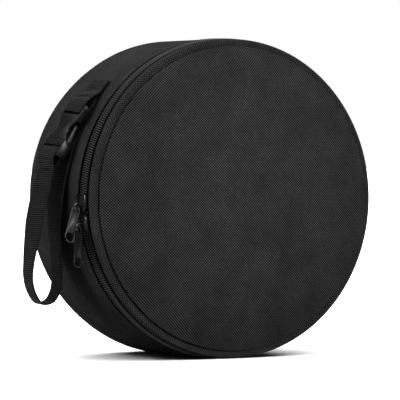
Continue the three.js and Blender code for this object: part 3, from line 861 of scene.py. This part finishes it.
class BAG_OT_zip(bpy.types.Operator):
    """Builds the zip's two tapes with their cords, and the two meshed rows of its coil"""

    bl_idname = "bag.zip"
    bl_label = "Zip"

    def execute(self, context):
        sizes = context.scene.bag_sizes
        tape = finish_named("twill_tape", context.scene)
        nylon = finish_named("nylon_coil", context.scene)
        for name, node, side in (("front_tape", "zip_tape_front", -1), ("back_tape", "zip_tape_back", 1)):
            made = arc_strip(name, side, TAPE_REACH, TAPE_DEPTHS)
            dress(made, "bag", tape, "zip_tape", node)
            # The cord takes the tape's near-black finish: partly its own black, partly painted shade in the gaps
            # between the coil's turns.
            cord = arc_strip(f"{name}_cord", side, CORD_REACH, CORD_DEPTHS)
            dress(cord, "bag", tape, "zip_coil")
        for name, side in (("coil_front", -1), ("coil_back", 1)):
            made = coil_row(name, side, sizes.coil * 1000)
            dress(made, "bag", nylon, "zip_coil", "zip_chain")
        return {"FINISHED"}


# Sliders, pulls and buckle


def rounded_copy(name, node, edge):
    """A CAD node's solid with its triangles merged into faces and its edges rounded."""
    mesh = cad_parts[node].data.copy()
    mesh.name = name
    made = add_object(name, mesh)
    work = bmesh.new()
    work.from_mesh(mesh)
    bmesh.ops.remove_doubles(work, verts=work.verts, dist=2e-6)
    bmesh.ops.dissolve_limit(work, angle_limit=math.radians(2), verts=work.verts, edges=work.edges)
    work.to_mesh(mesh)
    work.free()
    mesh.polygons.foreach_set("use_smooth", np.ones(len(mesh.polygons), bool))
    bevel = made.modifiers.new("rounding", "BEVEL")
    bevel.width = edge
    bevel.segments = 3
    bevel.limit_method = "ANGLE"
    bevel.angle_limit = math.radians(35)
    bevel.harden_normals = True
    return made


def turned(axis, angle):
    """Matrix of a right-hand turn about the x, y or z axis."""
    c, s = math.cos(angle), math.sin(angle)
    i, j = {"x": (1, 2), "y": (2, 0), "z": (0, 1)}[axis]
    made = np.eye(3)
    made[i, i] = made[j, j] = c
    made[i, j], made[j, i] = -s, s
    return made


def slider_axes(angle):
    """A slider's axes as columns, X down the chain, Y to the front and Z outwards, and its seat."""
    theta = math.radians(angle)
    out = np.array([math.cos(theta), 0, math.sin(theta)])
    down = np.array([-math.sin(theta), 0, math.cos(theta)])
    front, middle, back = wall_radius(np.array([FRONT_HEM, ZIP_CENTRE, BACK_HEM]))
    slope = math.atan2(back - front, BACK_HEM - FRONT_HEM)
    axes = np.stack([down, [0, -1, 0], out], -1) @ turned("x", -slope)
    return axes, out * middle + [0, ZIP_CENTRE, 0]


def pull_outline(inset):
    """Outline of a pull inside its edge: a round end, flanks that taper to the eye, and a blunt head."""
    end, eye = PULL_END - inset, PULL_EYE - inset
    tip = PULL_LENGTH - PULL_END
    turn = np.linspace(-np.pi / 2, np.pi / 2, 48)
    head = np.linspace(np.pi / 2, 3 * np.pi / 2, 24)
    x = np.concatenate([tip + end * np.cos(turn), EYE_MIDDLE + (PULL_HEAD - inset) * np.cos(head)])
    y = np.concatenate([end * np.sin(turn), eye * np.sin(head)])
    return x, y


def rim(name, x, y, axes, origin):
    """Raised rim: an oval section carried along a closed flat outline, standing proud on both sides."""
    tangent = np.stack([np.roll(x, -1) - np.roll(x, 1), np.roll(y, -1) - np.roll(y, 1)], -1)
    tangent /= np.linalg.norm(tangent, axis=1, keepdims=True)
    phi = full_turn(10)
    wide, high = RIM_HALF_WIDTH * np.cos(phi), RIM_HALF_HEIGHT * np.sin(phi)
    local_x, local_y = x[:, None] + tangent[:, 1:] * wide, y[:, None] - tangent[:, :1] * wide
    local = np.stack([local_x, local_y, np.broadcast_to(high, local_x.shape)], -1)
    return loft(name, local @ axes.T + origin, ring=True)


class BAG_OT_sliders(bpy.types.Operator):
    """Builds the sliders and their pulls, with a raised rim round each pull"""

    bl_idname = "bag.sliders"
    bl_label = "Sliders and pulls"

    def execute(self, context):
        sizes = context.scene.bag_sizes
        enamel = finish_named("black_enamel", context.scene)
        for name, angle, skew, tilt, roll in SLIDERS:
            axes, seat = slider_axes(angle)
            body = rounded_copy(f"zip_slider_{name}", f"slider_{name}", sizes.edge)
            dress(body, "bag", enamel, "enamelled_metal", f"slider_{name}")
            tab = rounded_copy(f"zip_pull_{name}", f"pull_{name}", sizes.edge * 0.6)
            dress(tab, f"{name}_pull", enamel, "enamelled_metal", f"pull_{name}")
            hang = axes @ turned("z", -math.radians(skew)) @ turned("y", -math.radians(tilt))
            hang = hang @ turned("x", -math.radians(roll))
            edge = rim(f"pull_rim_{name}", *pull_outline(RIM_INSET), hang, seat + axes @ PIVOT)
            dress(edge, f"{name}_pull", enamel, "enamelled_metal")
        return {"FINISHED"}


class BAG_OT_buckle(bpy.types.Operator):
    """Builds the fastened side-release buckle with rounded moulded edges"""

    bl_idname = "bag.buckle"
    bl_label = "Buckle"

    def execute(self, context):
        sizes = context.scene.bag_sizes
        plastic = finish_named("moulded_plastic", context.scene)
        for name, node in (("socket_body", "buckle_socket"), ("plug_body", "buckle_plug")):
            made = rounded_copy(name, node, sizes.edge * 1.4)
            dress(made, "bag", plastic, "buckle_plastic", node)
        return {"FINISHED"}


# Webbing


def on_buckle(along, out):
    """A row of webbing on the buckle: its middle, and its swing and dip, which follow the buckle's turn."""
    place = BUCKLE_OUT * (BUCKLE_REACH + out) + BUCKLE_DOWN * (BUCKLE_START + along)
    turn = math.tan(BUCKLE_TURN)
    behind = BUCKLE_CENTRE + (along - BUCKLE_PIVOT) * turn
    return place[0], behind, place[2], -BUCKLE_DOWN[0] * turn, -BUCKLE_DOWN[2] * turn


def on_wall(angle, rise, behind):
    """A row of webbing that lies on the wall, or rises from it."""
    radius = wall_radius(behind) + (WEBBING_LIFT + rise)
    theta = math.radians(angle)
    return radius * math.cos(theta), behind, radius * math.sin(theta), 0, 0


def round_bar(edge, side):
    """Half turn of webbing round a bar, over its outer face and back under it."""
    centre = edge - side * BAR_INSET
    rows = []
    for turn in np.radians(np.linspace(90, -90, 7)):
        along, out = side * BAR_WRAP * math.cos(turn), BAR_WRAP * math.sin(turn)
        rows.append(on_buckle(centre + along, BAR_MIDDLE + out))
    return rows


def smooth_path(rows, samples):
    """Curve through rows, sampled evenly by row, and the swing and dip along it.

    It is made of centripetal cubics, with the rows next to the ends mirrored past them.
    """
    rows = np.array(rows, float)
    place = np.linspace(0, len(rows) - 1, samples)
    full = np.concatenate([2 * rows[:1] - rows[1:2], rows, 2 * rows[-1:] - rows[-2:-1]])[:, :3]
    gap = np.maximum(np.linalg.norm(np.diff(full, axis=0), axis=1) ** 0.5, 1e-6)[:, None]
    p0, p1, p2, p3 = full[:-3], full[1:-2], full[2:-1], full[3:]
    d0, d1, d2 = gap[:-2], gap[1:-1], gap[2:]
    m1 = ((p1 - p0) / d0 - (p2 - p0) / (d0 + d1) + (p2 - p1) / d1) * d1
    m2 = ((p2 - p1) / d1 - (p3 - p1) / (d1 + d2) + (p3 - p2) / d2) * d1
    i = np.minimum(place.astype(int), len(rows) - 2)
    u = (place - i)[:, None]
    centre = (1 + 2 * u) * (1 - u) ** 2 * p1[i] + u * (1 - u) ** 2 * m1[i]
    centre = centre + u * u * (3 - 2 * u) * p2[i] - u * u * (1 - u) * m2[i]
    return centre, resample(place, np.arange(len(rows)), rows[:, 3:])


class WebbingPath:
    """A path's middle, its direction to the front edge and its outward direction at even steps of length."""

    def __init__(self, rows, step):
        centre, lean = smooth_path(rows, 4000)
        travel = np.concatenate([[0], np.cumsum(np.linalg.norm(np.diff(centre, axis=0), axis=1))])
        self.length = travel[-1]
        count = int(self.length / step) + 1
        self.at = np.linspace(0, self.length, count)
        self.centre = resample(self.at, travel, centre)
        swing, dip = resample(self.at, travel, lean).T
        tangent = np.gradient(self.centre, axis=0)
        out = np.stack([-tangent[:, 2], np.zeros(count), tangent[:, 0]], -1)
        self.out = out / np.linalg.norm(out, axis=1, keepdims=True)
        self.front = np.stack([-swing, -np.ones(count), -dip], -1)

    def place(self, along, across, lift):
        """Points at lengths along the webbing and distances across it to the front, lifted off its middle."""
        centre, front, out = (resample(along, self.at, each) for each in (self.centre, self.front, self.out))
        return centre + front * across[:, None] + out * lift


def webbing_band(name, path, rib, rib_height):
    """Flat oval section carried along a path, thicker at each rib and at the bead of each heat-cut end."""
    half = WEBBING_WIDTH / 2
    a = np.linspace(-1, 1, 15)
    across = np.concatenate([a, a[::-1]]) * half
    face = np.repeat([1.0, -1.0], len(a))
    edge = np.clip((half - np.abs(across)) / SELVEDGE, 0, 1) ** 0.5
    swell = (0.5 + 0.5 * np.cos(2 * np.pi * path.at / rib))[:, None]
    bead = np.exp(-np.minimum(path.at, path.length - path.at) / BEAD_LENGTH)[:, None]
    thick = (WEBBING_HALF + rib_height * swell) * (SELVEDGE_SHARE + (1 - SELVEDGE_SHARE) * edge)
    thick = thick * (1 + BEAD_HEIGHT * bead * (face > 0))
    width = across * (1 - RIB_BITE * (1 - swell))
    points = path.centre[:, None] + path.front[:, None] * width[..., None]
    return loft(name, points + path.out[:, None] * (face * thick)[..., None])


def strap_path(step):
    """The strap: folded round the plug's bar, hung in its loop, and sewn to the wall behind the socket."""
    folded = [on_buckle(PLUG_END + past, out) for past, out in STRAP_FOLD]
    bar = round_bar(PLUG_END - BAR, -1)[::-1]
    loop = [(x, STRAP_BEHIND, z, swing, dip) for x, z, swing, dip in STRAP_LOOP]
    sewn = [on_wall(angle, rise, STRAP_BEHIND) for angle, rise in STRAP_SEWN]
    return WebbingPath([*folded, *bar, on_buckle(*STRAP_LEAVES), *loop, *sewn], step)


def tab_path(step):
    """The tab: from the wall to the socket's bar, round it and back under itself."""
    over, under = ([on_wall(*row) for row in rows] for rows in (TAB_OVER, TAB_UNDER))
    bar = [on_buckle(*TAB_MEETS), *round_bar(BAR, 1), on_buckle(*TAB_RETURNS)]
    return WebbingPath([*over, *bar, *under], step)


class BAG_OT_webbing(bpy.types.Operator):
    """Builds the hanging strap and the tab that holds the buckle, as ribbed webbing"""

    bl_idname = "bag.webbing"
    bl_label = "Webbing"

    def execute(self, context):
        sizes = context.scene.bag_sizes
        finish = finish_named("ribbed_webbing", context.scene)
        rib = sizes.rib * 1000
        bands = (
            ("strap_webbing", "strap", strap_path(rib / 6), "hung", ["buckle_plug", "main_gusset"]),
            ("tab_webbing", "strap_tab", tab_path(rib / 6), "folded", ["main_gusset", "buckle_socket"]),
        )
        for name, node, path, held, holders in bands:
            made = webbing_band(name, path, rib, sizes.rib_height * 1000)
            dress(made, "bag", finish, "webbing", node)
        return {"FINISHED"}


# Stitching


def stitch_shape(long, radius):
    """One stitch: a rod that swells in its middle and sinks at both ends, closed to a point at each."""
    u = np.linspace(-1, 1, 7)[:, None]
    phi = full_turn(6)
    thick = radius * np.sqrt(np.maximum(1 - u ** 2, 0))
    x = np.broadcast_to(u * long / 2, (7, 6))
    return np.stack([x, thick * np.cos(phi), thick * np.sin(phi) - 0.5 * radius * u ** 2], -1)


def lay_stitches(name, starts, ends, outwards, long, radius):
    """Stitches laid on chords from starts to ends, each with its crown outwards."""
    chord = ends - starts
    along = chord / np.linalg.norm(chord, axis=1, keepdims=True)
    out = outwards - (outwards * along).sum(1, keepdims=True) * along
    out /= np.linalg.norm(out, axis=1, keepdims=True)
    axes = np.stack([along, np.cross(out, along), out], 1)
    return copies(name, stitch_shape(long * STITCH_SHARE, radius), (starts + ends) / 2, axes)


def ring_stitches(name, behind, long):
    """A row of stitches round the wall."""
    radius = wall_radius(behind)
    count = int(2 * np.pi * radius / long)
    theta = np.arange(count + 1) * 2 * np.pi / count
    out = np.stack([np.cos(theta), 0 * theta, np.sin(theta)], -1)
    points = press_to_floor(out * (radius + 0.02) + [0, behind, 0])
    return lay_stitches(name, points[:-1], points[1:], out[:-1], long, HEM_THREAD)


def webbing_stitches(name, path, corners):
    """Straight runs of stitches on webbing between corners given as (along, across)."""
    runs = []
    for (a0, b0), (a1, b1) in zip(corners[:-1], corners[1:]):
        count = max(2, int(math.hypot(a1 - a0, b1 - b0) / WEBBING_STITCH))
        share = np.linspace(0, 1, count + 1)
        runs.append((a0 + (a1 - a0) * share, b0 + (b1 - b0) * share))
    along, across = (np.concatenate(column) for column in zip(*runs))
    out = resample(along, path.at, path.out)
    points = path.place(along, across, STITCH_LIFT)
    if (points * out * [1, 0, 1]).sum() < 0:
        out = -out
        points = path.place(along, across, -STITCH_LIFT)
    i = np.flatnonzero(np.linalg.norm(np.diff(points, axis=0), axis=1) > SHORTEST_STITCH)
    return lay_stitches(name, points[i], points[i + 1], out[i], WEBBING_STITCH, WEBBING_THREAD)


class BAG_OT_stitching(bpy.types.Operator):
    """Sews the hem behind the zip, the tab on the wall and the strap's fold"""

    bl_idname = "bag.stitching"
    bl_label = "Stitching"

    def execute(self, context):
        sizes = context.scene.bag_sizes
        finish = finish_named("sewing_thread", context.scene)
        tab, strap = tab_path(0.3), strap_path(0.3)
        leaves = np.linalg.norm(strap.centre - on_buckle(*STRAP_LEAVES)[:3], axis=1)
        fold = strap.at[np.argmin(leaves)]
        tack = [(fold + along, across) for along, across in STRAP_TACK]
        rows = (
            ring_stitches("hem_stitches", HEM_SEWN, sizes.stitch * 1000),
            webbing_stitches("tab_stitches", tab, TAB_SIDES + TAB_CROSS),
            webbing_stitches("strap_stitches", strap, tack),
        )
        for made in rows:
            dress(made, "bag", finish, "cloth")
        return {"FINISHED"}


# Stage


def direction(azimuth, height):
    """Direction from the bag to a place in front of it, turned to the right and raised by degrees."""
    turn, rise = math.radians(azimuth), math.radians(height)
    return Vector((math.sin(turn) * math.cos(rise), -math.cos(turn) * math.cos(rise), math.sin(rise)))


def lay_floor(colours):
    """A flat floor, pale to the camera and darker as the bag is lit by it."""
    side = np.linspace(-FLOOR_HALF, FLOOR_HALF, FLOOR_CELLS + 1)
    u, v = np.meshgrid(side, side, indexing="ij")
    points = np.stack([u, v, 0 * u], -1).reshape(-1, 3)
    corners = grid_corners(FLOOR_CELLS, FLOOR_CELLS)
    quads = np.stack([p * len(side) + q for p, q in corners[::-1]], -1).reshape(-1, 4)
    mesh = bpy.data.meshes.new("floor")
    mesh.from_pydata(points.tolist(), [], quads.tolist())
    floor = add_object("floor", mesh)
    paint = Finish("pale_floor")
    pale = (*colours.floor, 1)
    mesh.materials.append(paint.set(Base_Color=pale, Roughness=0.9, Specular_IOR_Level=0.1))
    shaded = paint.node("ShaderNodeBsdfDiffuse", None, {"Color": (*colours.bounce, 1)})
    paint.split(Value(paint, paint.shader.outputs[0]), shaded, "Material Output")
    return floor


def light_sky(scene):
    """A sky that is white to the camera and a dim glow to the bag, brighter behind it than in front."""
    world = bpy.data.worlds.new("studio")
    scene.world = world
    world.use_nodes = True
    sky = NodeSet(world.node_tree)
    sky.tree.nodes.remove(sky.tree.nodes["Background"])
    where = sky.node("ShaderNodeTexCoord")
    behind = sky.node("ShaderNodeSeparateXYZ", None, {0: where}, 1)
    glow = sky.node("ShaderNodeMapRange", {"interpolation_type": "SMOOTHSTEP"}, {"Value": behind, **SKY_GLOW})
    fill = sky.node("ShaderNodeBackground", None, {"Color": WHITE, "Strength": glow})
    backdrop = sky.node("ShaderNodeBackground", None, {"Color": WHITE})
    sky.split(backdrop, fill, "World Output")


def hang_light(scene, lamp, place, towards, floor, state, seen):
    """Puts a lamp in a place, facing against its direction, to fall on the floor alone or on all but it."""
    light = bpy.data.objects.new(lamp.name, lamp)
    light.location = place
    light.rotation_mode = "QUATERNION"
    light.rotation_quaternion = towards.to_track_quat("Z", "Y")
    light.visible_camera = False
    light.visible_glossy = seen != "DULL"
    light.visible_diffuse = seen != "GLOSSY"
    group = bpy.data.collections.new(f"{lamp.name}_falls_on")
    group.objects.link(floor)
    group.collection_objects[0].light_linking.link_state = state
    light.light_linking.receiver_collection = group
    scene.collection.objects.link(light)


def place_camera(scene):
    """The photo's camera, aimed a little left of and below the middle of the front seam."""
    seam = Vector(DRUM / 1000)
    lens = bpy.data.cameras.new("camera")
    lens.sensor_width = CAMERA_SENSOR
    lens.lens = CAMERA_LENS
    lens.clip_end = CAMERA_SIGHT
    camera = bpy.data.objects.new("camera", lens)
    back = direction(CAMERA_TURN, CAMERA_HEIGHT)
    right = Vector((-back.y, back.x, 0)).normalized()
    camera.location = seam + back * CAMERA_DISTANCE
    aim = seam - right * CAMERA_LEFT - back.cross(right) * CAMERA_BELOW
    camera.rotation_mode = "QUATERNION"
    camera.rotation_quaternion = (aim - camera.location).to_track_quat("-Z", "Y")
    scene.collection.objects.link(camera)
    scene.camera = camera


class BAG_OT_stage(bpy.types.Operator):
    """Sets out a pale floor, soft light and the camera"""

    bl_idname = "bag.stage"
    bl_label = "Stage"

    def execute(self, context):
        scene = context.scene
        floor = lay_floor(scene.bag_colours)
        light_sky(scene)
        for name, strength, spread, azimuth, height, state, seen in SUNS:
            lamp = bpy.data.lights.new(name, "SUN")
            lamp.energy = strength
            lamp.angle = math.radians(spread)
            hang_light(scene, lamp, Vector((0, 0, 2)), direction(azimuth, height), floor, state, seen)
        for name, power, radius, cone, azimuth, height, distance, aim, seen in LAMPS:
            lamp = bpy.data.lights.new(name, "SPOT")
            lamp.energy = power
            lamp.shadow_soft_size = radius
            lamp.spot_size = math.radians(cone)
            lamp.spot_blend = 1
            towards = direction(azimuth, height)
            hang_light(scene, lamp, Vector(aim) + towards * distance, towards, floor, "EXCLUDE", seen)
        place_camera(scene)
        scene.view_settings.view_transform = "Standard"
        return {"FINISHED"}


class BAG_PT_panel(bpy.types.Panel):
    """Lists the steps that build the bag, with its sizes and colours"""

    bl_idname = "BAG_PT_panel"
    bl_label = "Pillow Storage Bag"
    bl_space_type = "VIEW_3D"
    bl_region_type = "UI"
    bl_category = "Bag"

    def draw(self, context):
        for step in STEPS:
            self.layout.operator(step.bl_idname)
        for group in (context.scene.bag_sizes, context.scene.bag_colours):
            for name in group.__annotations__:
                self.layout.prop(group, name)


STEPS = (
    BAG_OT_stage,
    BAG_OT_webbing,
    BAG_OT_wall,
    BAG_OT_panels,
    BAG_OT_zip,
    BAG_OT_sliders,
    BAG_OT_buckle,
    BAG_OT_stitching,
)
CLASSES = (BagSizes, BagColours, *STEPS, BAG_PT_panel)


def register():
    for each in CLASSES:
        bpy.utils.register_class(each)
    bpy.types.Scene.bag_sizes = PointerProperty(type=BagSizes)
    bpy.types.Scene.bag_colours = PointerProperty(type=BagColours)


def unregister():
    del bpy.types.Scene.bag_colours
    del bpy.types.Scene.bag_sizes
    for each in reversed(CLASSES):
        bpy.utils.unregister_class(each)


def main():
    register()
    for operator in (
        bpy.ops.bag.stage,
        bpy.ops.bag.webbing,
        bpy.ops.bag.wall,
        bpy.ops.bag.panels,
        bpy.ops.bag.zip,
        bpy.ops.bag.sliders,
        bpy.ops.bag.buckle,
        bpy.ops.bag.stitching,
    ):
        operator()


if __name__ == "__main__":
    main()
